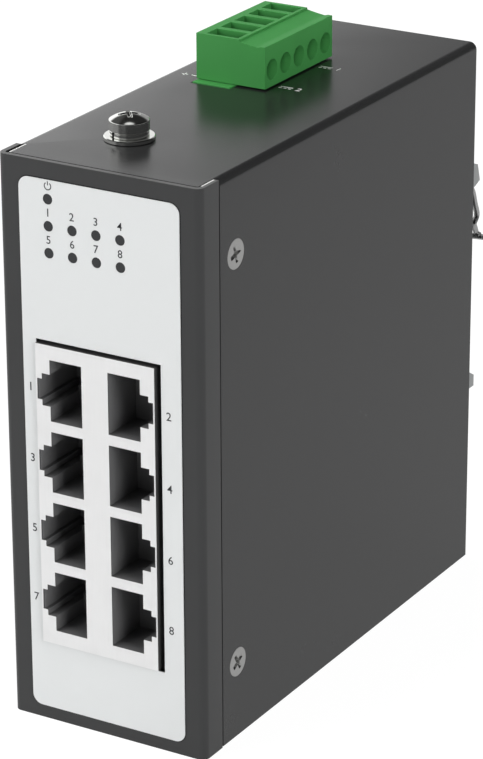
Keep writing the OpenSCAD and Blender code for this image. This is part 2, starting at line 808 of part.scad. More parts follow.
module jack_housing() {
    front = jack_front + shield_t + shield_room;
    back = jack_d - shield_t - shield_room;
    half_z = jack_half_z - shield_t - shield_room;
    color("#222324") in_place() union() {
        difference() {
            translate([jack_x, 0, jack_z])
                block([-column_reach, front, -half_z], [column_reach, back, half_z]);
            at_ports() {
                port_cut($side, front - 1, port_d + jack_front, latch_d + jack_front,
                         column_reach - latch_wall);
                for (i = [0 : contacts - 1]) translate([0, 0, contact_offset(i) - contact_slot / 2])
                    linear_extrude(contact_slot) contact_path($side, contact_slot, column_reach + 1);
            }
        }
        for (s = [-1, 1])
            translate([board_x - board_t, peg_y, jack_z + s * (jack_half_z - peg_inset)]) rotate([0, 90, 0])
                cylinder(h = jack_x - column_reach - board_x + board_t + 0.5, r = peg_r);
    }
}

module jack_contacts() {
    color("#c9a24a") in_place() at_ports() for (i = [0 : contacts - 1])
        translate([0, 0, contact_offset(i) - contact_t / 2]) linear_extrude(contact_t)
            contact_path($side, contact_t, jack_x - board_x + board_t + tail_l);
}

// A plain block that sits on the board, centred over its place.
module seated(size) {
    translate([-size[0] / 2, -size[1] / 2, 0]) cube(size);
}

// A moulded package on the board with leads along two of its sides.
module package(size, leads, pitch) {
    lead_l = 1.2;
    lead_w = 0.4;
    lead_t = 0.25;
    lift = 0.1;
    translate([-size[0] / 2, -size[1] / 2, lift]) cube([size[0], size[1], size[2] - lift]);
    for (i = [0 : leads - 1])
        translate([(i - (leads - 1) / 2) * pitch - lead_w / 2, -size[1] / 2 - lead_l, 0])
        cube([lead_w, size[1] + 2 * lead_l, lead_t]);
}

module magnetics() {
    color("#1f2021") in_place() for (z = port_heights)
        on_board(magnetics_y, z) rotate(90) package(magnetics_size, contacts, lead_pitch);
}

module switch_chip() {
    color("#232425") in_place() on_board(chip_y, chip_z) for (a = [0, 90])
        rotate(a) package([chip_w, chip_w, chip_h], chip_leads, chip_lead_pitch);
}

module thermal_pad() {
    color("#8fa3b5") in_place() on_board(chip_y, chip_z) translate([-chip_w / 2, -chip_w / 2, chip_h])
        cube([chip_w, chip_w, pad_t]);
}

module heat_sink() {
    color("#2b2c2e") in_place() on_board(chip_y, chip_z)
        translate([-chip_w / 2, -chip_w / 2, chip_h + pad_t]) {
        cube([chip_w, chip_w, sink_base]);
        for (i = [0 : fins - 1]) translate([i * (chip_w - fin_t) / (fins - 1), 0, sink_base - eps])
            cube([fin_t, chip_w, fin_h]);
    }
}

module memory_chip() {
    color("#232425") in_place() on_board(side_y, chip_z) package(small_chip, small_leads, lead_pitch);
}

module crystal() {
    color("#c9cacb") in_place() on_board(chip_y, crystal_z) seated(crystal_size);
}

module regulator_chip() {
    color("#232425") in_place() on_board(chip_y, power_z) package(small_chip, small_leads, lead_pitch);
}

module power_inductor() {
    color("#3a3b3d") in_place() on_board(side_y, power_z) linear_extrude(coil_h)
        round_rect(coil_w, coil_w, coil_r);
}

module power_capacitors() {
    color("#b8babc") in_place() for (s = [-1, 1]) on_board(can_y, power_z + s * can_pitch / 2) {
        seated([can_foot, can_foot, can_foot_h]);
        cylinder(h = can_h, r = can_r);
    }
}

module input_fuse() {
    color("#e6e1d2") in_place() on_board(terminal_y - fuse_shift, fuse_z) seated(fuse_size);
}

module surge_diodes() {
    color("#232425") in_place() for (n = [0, 1])
        on_board(terminal_y + n * diode_pitch, fuse_z) package(diode_size, 1, lead_pitch);
}

module light_guide() {
    guide_room = 0.6;
    post_rear = led_board_y - led_chip[1] - 0.3;
    leg_in = 1.2;
    right = led_board_x + led_board_w;
    high = led_board_z + led_board_h;
    legs = [[led_board_x + leg_in, high - leg_in], [right - leg_in, led_board_z + leg_in]];
    color("#5a5c5e") in_place() union() {
        block([led_board_x + guide_room, guide_y, led_board_z + guide_room],
            [right - guide_room, guide_y + guide_t, high - guide_room]);
        for (p = led_places) translate([p[0], -label_t, p[1]]) rotate([-90, 0, 0])
            cylinder(h = post_rear + label_t, r = led_tip_r);
        for (p = legs) translate([p[0], guide_y, p[1]]) rotate([-90, 0, 0])
            cylinder(h = led_board_y - guide_y, r = guide_leg_r);
    }
}

module led_board() {
    color("#2f6b45") in_place() difference() {
        block([led_board_x, led_board_y, led_board_z],
            [led_board_x + led_board_w, led_board_y + led_board_t, led_board_z + led_board_h]);
        for (n = [0 : led_pins - 1]) translate([led_pin_x, led_board_y - 1, led_pin_z(n)]) rotate([-90, 0, 0])
            cylinder(h = led_board_t + 2, r = led_pin_t * 0.75, $fn = 24);
    }
}

module led_chips() {
    color("#e9e6c8") in_place() for (p = led_places)
        translate([p[0] - led_chip[0] / 2, led_board_y - led_chip[1], p[1] - led_chip[2] / 2]) cube(led_chip);
}

module led_header() {
    strip_w = 2.5;
    hole = led_pin_t + 0.06;
    y0 = led_board_y + led_board_t;
    color("#1f2021") in_place() difference() {
        translate([led_pin_x - strip_w / 2, y0, led_pin_z(0) - header_pitch / 2])
            cube([strip_w, strip_w, led_pins * header_pitch]);
        for (n = [0 : led_pins - 1]) translate([led_pin_x - hole / 2, y0 - 1, led_pin_z(n) - hole / 2])
            cube([hole, strip_w + 2, hole]);
    }
}

module led_header_pins() {
    half = led_pin_t / 2;
    tip = 0.5;
    color("#c9a24a") in_place() for (n = [0 : led_pins - 1]) translate([0, 0, led_pin_z(n) - half])
        linear_extrude(led_pin_t) {
            translate([led_pin_x - half, led_board_y - tip])
                square([led_pin_t, led_pin_y + half - led_board_y + tip]);
            translate([board_x - board_t - tail_l, led_pin_y - half])
                square([led_pin_x + half - board_x + board_t + tail_l, led_pin_t]);
        }
}

module terminal_header() {
    y0 = plug_y - header_end;
    y1 = plug_y + plug_l + header_end;
    hole = pin_t + 0.06;
    foot_h = 3;
    color("#3f8f47") in_place() difference() {
        union() {
            block([header_x, y0, header_base], [header_x + header_w, y1, header_z]);
            block([board_x, y0, header_base], [header_x + eps, y1, header_base + foot_h]);
        }
        block([header_x + header_wall, plug_y + tongue_end - tongue_room, header_floor],
            [header_x + header_w - header_wall, plug_y + plug_l - tongue_end + tongue_room, header_z + 1]);
        for (y = pole_places) translate([pin_x - hole / 2, y - hole / 2, header_base - 1])
            cube([hole, hole, header_w]);
    }
}

module header_pins() {
    half = pin_t / 2;
    color("#cfd0d1") in_place() for (y = pole_places) along_y(y - half, y + half) {
        translate([pin_x - half, pin_turn - half]) square([pin_t, pin_high - pin_turn + half]);
        translate([board_x - board_t - tail_l, pin_turn - half])
            square([pin_x + half - board_x + board_t + tail_l, pin_t]);
    }
}

// The end of the plug, seen from the front: a flat top, a step, a slightly hollow ramp and a rib.
module plug_outline() {
    step = 0.35;
    rib_w = 0.9;
    dip = 0.18;
    ramp = [plug_w - rib_w - 0.7, plug_low_h - dip];
    steps = 6;
    polygon(concat(
        [[0, 0], [plug_w, 0], [plug_w, plug_low_h], [plug_w - rib_w, plug_low_h]],
        [for (i = [0 : steps]) let (u = i / steps)
            [ramp[0] + u * (plug_flat_w - ramp[0]),
                ramp[1] + (0.7 * u + 0.3 * u * u) * (plug_h - step - ramp[1])]],
        [[plug_flat_w, plug_h], [0, plug_h]]
    ));
}

module terminal_plug() {
    cavity_half = cage_half + cavity_room;
    wall = header_wall + tongue_room;
    color("#3f9a49") in_place() difference() {
        union() {
            translate([plug_x, 0, plug_z]) along_y(plug_y, plug_y + plug_l) plug_outline();
            block([header_x + wall, plug_y + tongue_end, plug_z - tongue_l],
                [header_x + header_w - wall, plug_y + plug_l - tongue_end, plug_z + eps]);
        }
        for (y = pole_places) translate([0, y, 0]) {
            block([cage_x - cavity_room, -cavity_half, cavity_z],
                [cage_x + cage_w + cage_travel + cavity_room, cavity_half, cage_low + cage_h + cavity_room]);
            block([entry_x, -entry_l / 2, cage_low], [entry_x + entry_w, entry_l / 2, plug_z + plug_h + 1]);
            block([pin_x - contact_grip - contact_wall - 0.2, -bar_half - 0.1, plug_z - tongue_l - 1],
                [pin_x + contact_grip + contact_wall + 0.2, bar_half + 0.1, cage_low]);
            translate([0, 0, clamp_height]) rotate([0, 90, 0]) {
                translate([0, 0, cage_x + cage_w]) cylinder(h = lip_x - cage_x - cage_w, r = driver_r);
                translate([0, 0, clamp_face]) cylinder(h = plug_w, r = lip_r);
                translate([0, 0, mouth_x]) cylinder(h = 2 * mouth_d, r1 = lip_r, r2 = 2 * driver_r - lip_r);
            }
        }
    }
}

module plug_contacts() {
    arm_half = 1;
    bridge_z = pin_high + 0.4;
    outer = contact_grip + contact_wall;
    color("#d2d3d3") in_place() for (y = pole_places) translate([pin_x, y, 0]) {
        for (s = [0, 1]) mirror([s, 0, 0])
            block([contact_grip, -arm_half, contact_low], [outer, arm_half, bridge_z + contact_wall]);
        block([-outer, -arm_half, bridge_z], [outer, arm_half, bridge_z + contact_wall]);
        block([-bar_t / 2, -arm_half, bridge_z], [bar_t / 2, arm_half, cavity_z + eps]);
        block([-bar_t / 2, -bar_half, cavity_z], [bar_t / 2, bar_half, cage_low + cage_h - 0.4]);
    }
}

module clamp_screw(n) {
    slot = [0.5, 0.8];
    tip_x = pin_x + bar_t / 2 + 0.05;
    if (n < poles) color("#b9bbbc") in_place() translate([clamp_face, pole_places[n], clamp_height])
        rotate([0, 90, 0]) difference() {
            union() {
                translate([0, 0, -clamp_head_h]) cylinder(h = clamp_head_h, r = clamp_head_r);
                translate([0, 0, tip_x - clamp_face]) cylinder(h = clamp_face - tip_x, r = clamp_r);
            }
            translate([-slot[0] / 2, -clamp_head_r - 1, -slot[1]]) cube([slot[0], 2 * clamp_head_r + 2, 2]);
        }
}

module wire_cage(n) {
    half = cage_half;
    if (n < poles) color("#c4c6c7") in_place() translate([cage_x, pole_places[n], 0]) difference() {
        block([0, -half, cage_low], [cage_w, half, cage_low + cage_h]);
        block([cage_left, cage_wall - half, cage_low - 1],
            [cage_w - cage_nut, half - cage_wall, cage_low + cage_h + 1]);
        translate([cage_left + 1, 0, clamp_height]) rotate([0, 90, 0])
            cylinder(h = cage_w, r = clamp_r + 0.05);
    }
}

module clamp_screw_1() { clamp_screw(0); }
module clamp_screw_2() { clamp_screw(1); }
module clamp_screw_3() { clamp_screw(2); }
module clamp_screw_4() { clamp_screw(3); }
module clamp_screw_5() { clamp_screw(4); }
module wire_cage_1() { wire_cage(0); }
module wire_cage_2() { wire_cage(1); }
module wire_cage_3() { wire_cage(2); }
module wire_cage_4() { wire_cage(3); }
module wire_cage_5() { wire_cage(4); }

front_panel();
front_label();
cover();
side_rails();
rear_plate();
chassis();
side_screws();
press_nuts();
rear_screws();
ground_screw();
ground_spring_washer();
ground_flat_washer();
ground_nut();
din_plate();
din_spring();
din_screws();
insulating_sheet();
board_standoffs();
main_board();
board_screws();
jack_shield();
jack_housing();
jack_contacts();
magnetics();
switch_chip();
thermal_pad();
heat_sink();
memory_chip();
crystal();
regulator_chip();
power_inductor();
power_capacitors();
input_fuse();
surge_diodes();
light_guide();
led_board();
led_chips();
led_header();
led_header_pins();
terminal_header();
header_pins();
terminal_plug();
plug_contacts();
clamp_screw_1();
clamp_screw_2();
clamp_screw_3();
clamp_screw_4();
clamp_screw_5();
wire_cage_1();
wire_cage_2();
wire_cage_3();
wire_cage_4();
wire_cage_5();
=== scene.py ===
# %% [markdown]
# # A network switch for a DIN rail, dressed in Blender
# The packed model already gives every part its true size and place: the folded housing, the port block,
# the power terminal and the rail clip. This script keeps that frame as it is and gives it what a solid
# model lacks: softened folds, real screw heads, printing, paint, plastic and plated steel. The model is
# loaded first.

# %% Load the packed model
import math

import bmesh
import bpy
import numpy as np
from mathutils import Matrix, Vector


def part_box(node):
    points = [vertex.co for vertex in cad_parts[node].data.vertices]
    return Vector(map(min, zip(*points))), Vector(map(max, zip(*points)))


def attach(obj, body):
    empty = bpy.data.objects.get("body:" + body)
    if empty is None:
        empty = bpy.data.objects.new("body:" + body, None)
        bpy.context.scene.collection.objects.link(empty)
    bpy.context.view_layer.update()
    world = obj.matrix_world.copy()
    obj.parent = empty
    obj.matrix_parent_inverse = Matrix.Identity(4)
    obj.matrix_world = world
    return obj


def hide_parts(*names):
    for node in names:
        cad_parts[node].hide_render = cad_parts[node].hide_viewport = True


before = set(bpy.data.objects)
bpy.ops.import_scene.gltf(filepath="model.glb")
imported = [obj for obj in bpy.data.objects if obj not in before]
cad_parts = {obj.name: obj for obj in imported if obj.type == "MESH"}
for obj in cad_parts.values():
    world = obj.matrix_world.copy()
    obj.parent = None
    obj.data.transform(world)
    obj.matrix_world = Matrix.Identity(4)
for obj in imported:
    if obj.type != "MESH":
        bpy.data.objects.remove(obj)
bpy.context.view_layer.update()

MM = 0.001


# %% [markdown]
# ## Writing shader maths as Python
# A Blender material is a graph of nodes, which is tiresome to wire by hand. `Value` wraps one output
# socket and takes Python's operators, so `1 - mask * 0.3` adds its own Math nodes. `Finish` is one
# material built round a Principled shader. Its `node` method adds any other node: first the settings,
# then what goes into the sockets.

# %% A value that adds its own Math nodes
class Value:
    """One output socket of a material. Python's operators on it add Math nodes."""

    def __init__(self, finish, socket):
        self.finish, self.socket = finish, socket

    def math(self, operation, *others):
        return self.finish.node("ShaderNodeMath", {"operation": operation}, [self, *others])

    def __add__(self, other):
        return self.math("ADD", other)

    __radd__ = __add__

    def __sub__(self, other):
        return self.math("SUBTRACT", other)

    def __rsub__(self, other):
        return self.finish.node("ShaderNodeMath", {"operation": "SUBTRACT"}, [other, self])

    def __mul__(self, other):
        return self.math("MULTIPLY", other)

    __rmul__ = __mul__

    def __truediv__(self, other):
        return self.math("DIVIDE", other)

    def ease(self, low, high):
        """A smooth step: 0 where the value is at or below low, 1 where it is at or above high."""
        settings = {"interpolation_type": "SMOOTHSTEP"}
        return self.finish.node("ShaderNodeMapRange", settings, [self, low, high])


print("reflected operators:", [name for name in vars(Value) if name.startswith("__r")])


# %% A finish round one Principled shader
class Finish:
    """A material. Constants go on the shader's own sockets, and what varies is linked."""

    def __init__(self, name, **constants):
        self.material = bpy.data.materials.new(name)
        self.material.use_nodes = True
        self.tree = self.material.node_tree
        self.shader = self.tree.nodes["Principled BSDF"]
        for socket, value in constants.items():
            self.put(socket.replace("_", " "), value)

    def node(self, kind, settings=(), inputs=(), output=0):
        made = self.tree.nodes.new(kind)
        for key, value in dict(settings).items():
            setattr(made, key, value)
        pairs = inputs.items() if isinstance(inputs, dict) else enumerate(inputs)
        for key, value in pairs:
            self.feed(made.inputs[key], value)
        return Value(self, made.outputs[output])

    def feed(self, socket, value):
        if isinstance(value, Value):
            self.tree.links.new(value.socket, socket)
        else:
            socket.default_value = (*value, 1) if np.ndim(value) and socket.type == "RGBA" else value

    def put(self, socket, value):
        self.feed(self.shader.inputs[socket], value)

    def where(self, stretch=(1, 1, 1)):
        """The place on the piece, in millimetres, stretched along each axis."""
        place = self.node("ShaderNodeTexCoord", output="Object")
        scale = tuple(s / MM for s in stretch)
        return self.node("ShaderNodeVectorMath", {"operation": "MULTIPLY"}, [place, scale])

    def axis(self, name, place=None):
        return self.node("ShaderNodeSeparateXYZ", (), [place or self.where()], output=name)

    def noise(self, size, detail=2.0, stretch=(1, 1, 1), roughness=0.5):
        """Cloudy noise from 0 to 1 whose blobs are about size millimetres wide."""
        inputs = {"Vector": self.where(stretch), "Scale": 1 / size, "Detail": detail, "Roughness": roughness}
        return self.node("ShaderNodeTexNoise", (), inputs, output="Fac")

    def tint(self, factor, low, high):
        """The colour low where factor is 0 and high where it is 1."""
        settings = {"data_type": "RGBA"}
        return self.node("ShaderNodeMix", settings, {"Factor": factor, 6: low, 7: high}, output=2)

    def bump(self, height, depth, strength=1.0):
        """Tilts the surface as if it rose by depth millimetres where height is 1."""
        inputs = {"Strength": strength, "Distance": depth * MM, "Height": height}
        self.put("Normal", self.node("ShaderNodeBump", (), inputs))


def shade(grey, warm=0.0):
    """A nearly neutral colour, a little warmer or cooler than its grey level."""
    return (grey * (1 + warm), grey, grey * (1 - warm))


finishes = {}
print("shader helpers ready")


# %% [markdown]
# ## Powder-coated steel
# The housing is bent from 1 mm sheet and powder coated. The powder melts into a satin skin with a faint
# orange peel, a few tenths of a millimetre across. It is nearly black, and much of the grey that one sees
# is the room mirrored at a low angle, so the colour is dark and the gloss does the rest. The noise moves
# both a little.

# %% Housing paint and front paint
PEEL, CLOUD, SPECK = 0.55, 18.0, 0.16
# Colour and width of the painted highlight on a cut edge.
HIGHLIGHT_GREY, HIGHLIGHT_BAND = 0.075, 0.04


def powder_coat(name, grey, gloss, highlight_above=None):
    """Satin powder coat: a fine peel in the bump, and slow clouds in colour and roughness.
    With highlight_above, the cut edge above that z, in millimetres, is painted paler as a highlight."""
    paint = Finish(name, Roughness=gloss)
    peel = paint.noise(PEEL, detail=3.0)
    clouds = paint.noise(CLOUD, detail=3.0)
    specks = paint.noise(SPECK, detail=1.0).ease(0.62, 0.75)
    fade = clouds * 0.8 + specks * 0.25
    tone = paint.tint(fade, shade(grey * 0.9, -0.02), shade(grey * 1.2, -0.02))
    if highlight_above is not None:
        # Painted highlight: the top cut edge is made paler, as if it caught the light.
        edge_highlight = paint.axis("Z").ease(highlight_above, highlight_above + HIGHLIGHT_BAND)
        tone = paint.tint(edge_highlight, tone, shade(HIGHLIGHT_GREY))
    paint.put("Base Color", tone)
    paint.put("Roughness", gloss + (clouds - 0.5) * 0.08 + (peel - 0.5) * 0.05)
    paint.bump(peel, 0.003, 0.3)
    return paint


finishes["housing_paint"] = powder_coat("housing_paint", 0.022, 0.25)
panel_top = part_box("front_panel")[1][2] / MM
# The front panel's top cut edge gets a painted highlight.
finishes["front_paint"] = powder_coat("front_paint", 0.034, 0.33, highlight_above=panel_top - 0.06)
print("paints:", len(finishes))


# %% [markdown]
# ## Printed films and inks
# The label is a matt polyester film, printed pale grey on its back. It is smooth, with a very fine satin
# grain. The inks are separate thin shapes, because a print with a clean edge needs no texture that way.

# %% Label film, dark ink and white ink
def satin_film(name, colour, rough, grain):
    """A smooth film: hardly any colour change, and a fine grain in the gloss."""
    film = Finish(name, Specular_IOR_Level=0.35)
    drift = film.noise(30.0, detail=1.0)
    fine = film.noise(0.12, detail=1.0)
    low = tuple(c * 0.985 for c in colour)
    high = tuple(min(c * 1.015, 1) for c in colour)
    film.put("Base Color", film.tint(drift, low, high))
    film.put("Roughness", rough + (fine - 0.5) * grain)
    film.bump(fine, 0.002, 0.3)
    return film


finishes["label"] = satin_film("label", (0.73, 0.745, 0.745), 0.42, 0.06)
dark_ink = satin_film("dark_ink", (0.035, 0.036, 0.04), 0.5, 0.1)
white_ink = satin_film("white_ink", (0.92, 0.92, 0.91), 0.5, 0.1)
# Painted shade: the near-black ring round the label.
seam_shade = satin_film("seam_shade", (0.006, 0.006, 0.006), 0.6, 0.1)
print("films and inks ready")


# %% [markdown]
# ## Moulded plastics
# The terminal is glass-filled nylon with a dull spark-eroded grain, the port block a smoother black one.
# Plastic carries its colour right through, so only the gloss and a little mottling vary over it.

# %% Plastics
GRAIN_GLOSS = 0.12


def moulded(name, colour, rough, grain_size=0.25, level=0.35, mottle=0.08):
    """Moulded plastic: an even colour with faint mottling, under the grain of the mould."""
    plastic = Finish(name, Specular_IOR_Level=level)
    grain_map = plastic.noise(grain_size, detail=3.0)
    flow = plastic.noise(6.0, detail=2.0, stretch=(1, 1, 0.35))
    low = tuple(c * (1 - mottle) for c in colour)
    high = tuple(min(c * (1 + mottle), 1) for c in colour)
    plastic.put("Base Color", plastic.tint(flow, low, high))
    plastic.put("Roughness", rough + (grain_map - 0.5) * GRAIN_GLOSS)
    plastic.bump(grain_map, 0.012, 0.4)
    return plastic


finishes["terminal_green"] = moulded("terminal_green", (0.062, 0.30, 0.075), 0.55, level=0.2)
finishes["jack_black"] = moulded("jack_black", (0.15, 0.15, 0.152), 0.42, grain_size=0.18)
finishes["guide_grey"] = moulded("guide_grey", (0.042, 0.043, 0.045), 0.6, level=0.25, mottle=0.03)
finishes["chip_black"] = moulded("chip_black", (0.016, 0.016, 0.017), 0.6, grain_size=0.1)
finishes["ferrite"] = moulded("ferrite", (0.035, 0.035, 0.038), 0.7, grain_size=0.2)
finishes["pad_grey"] = moulded("pad_grey", (0.27, 0.35, 0.42), 0.85, grain_size=0.3)
finishes["fuse_ceramic"] = moulded("fuse_ceramic", (0.78, 0.74, 0.62), 0.5)
finishes["led_white"] = moulded("led_white", (0.8, 0.78, 0.6), 0.4)
finishes["film"] = satin_film("film", (0.03, 0.03, 0.032), 0.35, 0.05)
print("finishes so far:", len(finishes))


# %% [markdown]
# ## Bare and plated metal
# Zinc plate is a soft grey with a crystal spangle, screws are bright with fine turning marks, and the
# earth screw is nickel plated and mirror-like. Rolled sheet carries faint lines along the rolling
# direction, which are noise stretched along one axis.

# %% Metals
SCRATCH, CRYSTAL = 0.4, 2.2
# Colour and fade of the painted shade in a gap.
GAP_SHADE_GREY, SHADE_FADE = 0.08, 0.12


def metal(name, colour, rough, stretch=(1, 1, 1), grain=0.1, depth=0.004, metallic=1.0, shaded_from=None):
    """Plain metal: fine scratches, stretched along the way it was rolled, move the gloss and the bump.
    With shaded_from, it is painted dark from that y back, in millimetres: painted shade where it lies in a
    gap."""
    steel = Finish(name, Metallic=metallic)
    scratches = steel.noise(SCRATCH, detail=4.0, stretch=stretch, roughness=0.65)
    clouds = steel.noise(7.0, detail=2.0)
    low = tuple(c * 0.93 for c in colour)
    high = tuple(min(c * 1.05, 1) for c in colour)
    tone = steel.tint(clouds * 0.6 + scratches * 0.4, low, high)
    if shaded_from is not None:
        # Painted shade: dark from shaded_from back, where the part lies in the shade of a gap.
        gap_shade = steel.axis("Y").ease(shaded_from, shaded_from + SHADE_FADE)
        tone = steel.tint(gap_shade, tone, shade(GAP_SHADE_GREY))
    steel.put("Base Color", tone)
    steel.put("Roughness", rough + (scratches - 0.5) * grain + (clouds - 0.5) * 0.05)
    steel.bump(scratches, depth, 0.3)
    return steel


def spangled(name, colour, rough):
    """Zinc plate: every crystal is a cell with its own shade and gloss."""
    zinc = Finish(name, Metallic=1.0)
    inputs = {"Vector": zinc.where(), "Scale": 1 / CRYSTAL}
    crystal = zinc.axis("X", zinc.node("ShaderNodeTexVoronoi", (), inputs, output="Color"))
    grain = zinc.noise(0.3, detail=3.0)
    zinc.put("Base Color", zinc.tint(crystal, tuple(c * 0.88 for c in colour), colour))
    zinc.put("Roughness", rough + (crystal - 0.5) * 0.12 + (grain - 0.5) * 0.06)
    zinc.bump(grain, 0.003, 0.25)
    return zinc


rolled = (1, 1, 0.06)
finishes["zinc_steel"] = spangled("zinc_steel", (0.62, 0.64, 0.66), 0.36)
finishes["screw_steel"] = metal("screw_steel", (0.5, 0.5, 0.49), 0.3)
finishes["earth_steel"] = metal("earth_steel", (0.82, 0.826, 0.8), 0.13, grain=0.05, depth=0.002)
finishes["clip_steel"] = metal("clip_steel", (0.46, 0.475, 0.475), 0.42, rolled, metallic=0.8)
# Bare steel at the cut edges, near white and hardly metallic: a painted highlight.
finishes["bare_steel_glint"] = metal("bare_steel_glint", (0.92, 0.92, 0.9), 0.4, metallic=0.1)
finishes["spring_steel"] = metal("spring_steel", (0.5, 0.5, 0.5), 0.28)
block_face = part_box("jack_shield")[0][1] / MM
# The shield's sides behind its face get painted shade, as they lie in the gap round the block.
finishes["shield_tin"] = metal("shield_tin", shade(0.86), 0.5, rolled, metallic=0.25, shaded_from=block_face)
finishes["can_aluminium"] = metal("can_aluminium", (0.72, 0.73, 0.74), 0.32)
finishes["terminal_tin"] = metal("terminal_tin", (0.68, 0.68, 0.67), 0.33)
finishes["gold"] = metal("gold", (0.78, 0.58, 0.26), 0.25)
finishes["sink_black"] = metal("sink_black", (0.05, 0.05, 0.055), 0.5, metallic=0.6)
print("finishes so far:", len(finishes))


# %% [markdown]
# ## Circuit board
# A board is green lacquer over copper tracks. The tracks show as slightly raised, lighter lanes that keep
# to a grid. Two square waves across the board, broken up by slow noise, are enough for a board that is
# mostly hidden.

# %% Board
board = Finish("board_green", Specular_IOR_Level=0.5)
FINE_GRID, WIDE_GRID = 1.27, 2.54
step_y = (board.axis("Y") / FINE_GRID).math("FRACT")
step_z = (board.axis("Z") / WIDE_GRID).math("FRACT")
lane_y = step_y.ease(0.30, 0.36) * (1 - step_y.ease(0.64, 0.7))
lane_z = step_z.ease(0.35, 0.4) * (1 - step_z.ease(0.6, 0.65))
spread = board.noise(9.0, detail=1.0).ease(0.48, 0.52)
tracks = lane_y * spread + lane_z * (1 - spread)
board.put("Base Color", board.tint(tracks, (0.008, 0.075, 0.028), (0.02, 0.14, 0.05)))
board.put("Roughness", 0.32 + (board.noise(0.5) - 0.5) * 0.1)
board.bump(tracks, 0.03, 0.5)
finishes["board_green"] = board
print("board finish ready")


# %% [markdown]
# Each CAD node arrives with a plain material whose name says what it is made of. That name picks the
# finish. The CAD meshes stay as they are, and a node that gets a finer shape below is hidden by it.

# %% Finish every CAD node
slot_of = {name: node.data.materials[0].name for name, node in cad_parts.items()}
for name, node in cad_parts.items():
    node.material_slots[0].material = finishes[slot_of[name]].material
print("CAD nodes finished with", len(finishes), "finishes")


# %% [markdown]
# ## Turning arrays into pieces
# Every new shape below is a grid of points worked out with numpy. Two neighbouring rows and columns of
# the grid make one four-sided face, so the faces follow from the grid's size alone. Points that coincide
# at a seam or a pole are merged, and the normals are then turned outwards.

# %% Grids, merging and finishing a piece
SEAM = 0.002
SHARP_FROM = 40.0


def grid_faces(rows, columns, start=0):
    """Faces of a grid of points: each joins a point, the next in its row, and the two in the row after."""
    first = np.arange(rows - 1)[:, None] * columns + np.arange(columns - 1)[None, :] + start
    return np.stack([first, first + 1, first + columns + 1, first + columns], axis=-1).reshape(-1, 4)


def piece(name, grids, body, finish, replaced=()):
    """One object from several grids of points, each an array of (row, column, xyz) in metres."""
    points, faces, start = [], [], 0
    for grid in grids:
        rows, columns = grid.shape[:2]
        points.append(grid.reshape(-1, 3))
        faces.append(grid_faces(rows, columns, start))
        start += rows * columns
    mesh = bpy.data.meshes.new(name)
    mesh.from_pydata(np.concatenate(points), [], np.concatenate(faces).tolist())
    work = bmesh.new()
    work.from_mesh(mesh)
    bmesh.ops.remove_doubles(work, verts=work.verts, dist=SEAM * MM)
    bmesh.ops.recalc_face_normals(work, faces=work.faces)
    work.to_mesh(mesh)
    work.free()
    return place_piece(name, mesh, body, finish, replaced)


def place_piece(name, mesh, body, finish, replaced=()):
    """Links a mesh as an object of its own, smooth but for its sharp edges, and rides it on its body."""
    made = bpy.data.objects.new(name, mesh)
    bpy.context.scene.collection.objects.link(made)
    mesh.shade_smooth()
    mesh.set_sharp_from_angle(angle=math.radians(SHARP_FROM))
    mesh.materials.clear()
    mesh.materials.append(finish.material)
    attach(made, body)
    if replaced:
        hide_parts(*replaced)
    print(name, "faces:", len(mesh.polygons))
    return made


# %% [markdown]
# ## Softened edges
# No real sheet or moulding has a perfectly sharp edge: a broken edge catches a thin line of light, which
# is what makes it read as metal or plastic. The CAD mesh itself must stay as it is, so a copy is made.
# Its loose triangles are merged and its flat faces joined, and a Bevel modifier then rounds what is still
# sharp.

# %% A bevelled copy of a CAD node
BEVEL_FROM = 30
FLAT_WITHIN = 0.4


def softened(node, width, body="housing"):
    """A copy of a CAD node whose edges over BEVEL_FROM degrees are rounded, width millimetres wide."""
    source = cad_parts[node]
    mesh = source.data.copy()
    if "custom_normal" in mesh.attributes:
        mesh.attributes.remove(mesh.attributes["custom_normal"])
    work = bmesh.new()
    work.from_mesh(mesh)
    bmesh.ops.remove_doubles(work, verts=work.verts, dist=0.001 * MM)
    flat = math.radians(FLAT_WITHIN)
    bmesh.ops.dissolve_limit(work, angle_limit=flat, verts=work.verts, edges=work.edges)
    work.to_mesh(mesh)
    work.free()
    made = place_piece(node + "_soft", mesh, body, finishes[slot_of[node]], (node,))
    bevel = made.modifiers.new("edges", "BEVEL")
    bevel.width = width * MM
    bevel.segments = 2
    bevel.limit_method = "ANGLE"
    bevel.angle_limit = math.radians(BEVEL_FROM)
    bevel.harden_normals = True


softened("cover", 0.12)
softened("front_panel", 0.12)
softened("rear_plate", 0.1)
softened("din_plate", 0.1)
softened("jack_shield", 0.06)
softened("terminal_header", 0.12)
softened("terminal_plug", 0.12, body="power_plug")


# %% [markdown]
# ## Screw heads
# A screw head is turned, so it is a profile carried round an axis: one parameter runs from the middle of
# the head down to the tip, the other goes round. The cross recess is pressed into it afterwards: wherever
# a point of the top lies inside the cross, it goes down, and the walls slope a little as on a real
# recess.

# %% The turned screw with its cross recess
def cross_depth(x, y, span, width, depth, wall):
    """How far a point sinks: two bars that fall in from their edges over wall, and deepen to the middle."""
    wings = [np.clip((width / 2 - abs(b)) / wall, 0, 1) * np.clip(1.08 - abs(a) / (span / 2), 0, 1) ** 0.7
             for a, b in ((x, y), (y, x))]
    core = np.clip((0.72 * width - np.hypot(x, y)) / wall, 0, 1)
    return depth * np.maximum(np.maximum(*wings), core)


RINGS, AROUND = 48, 144


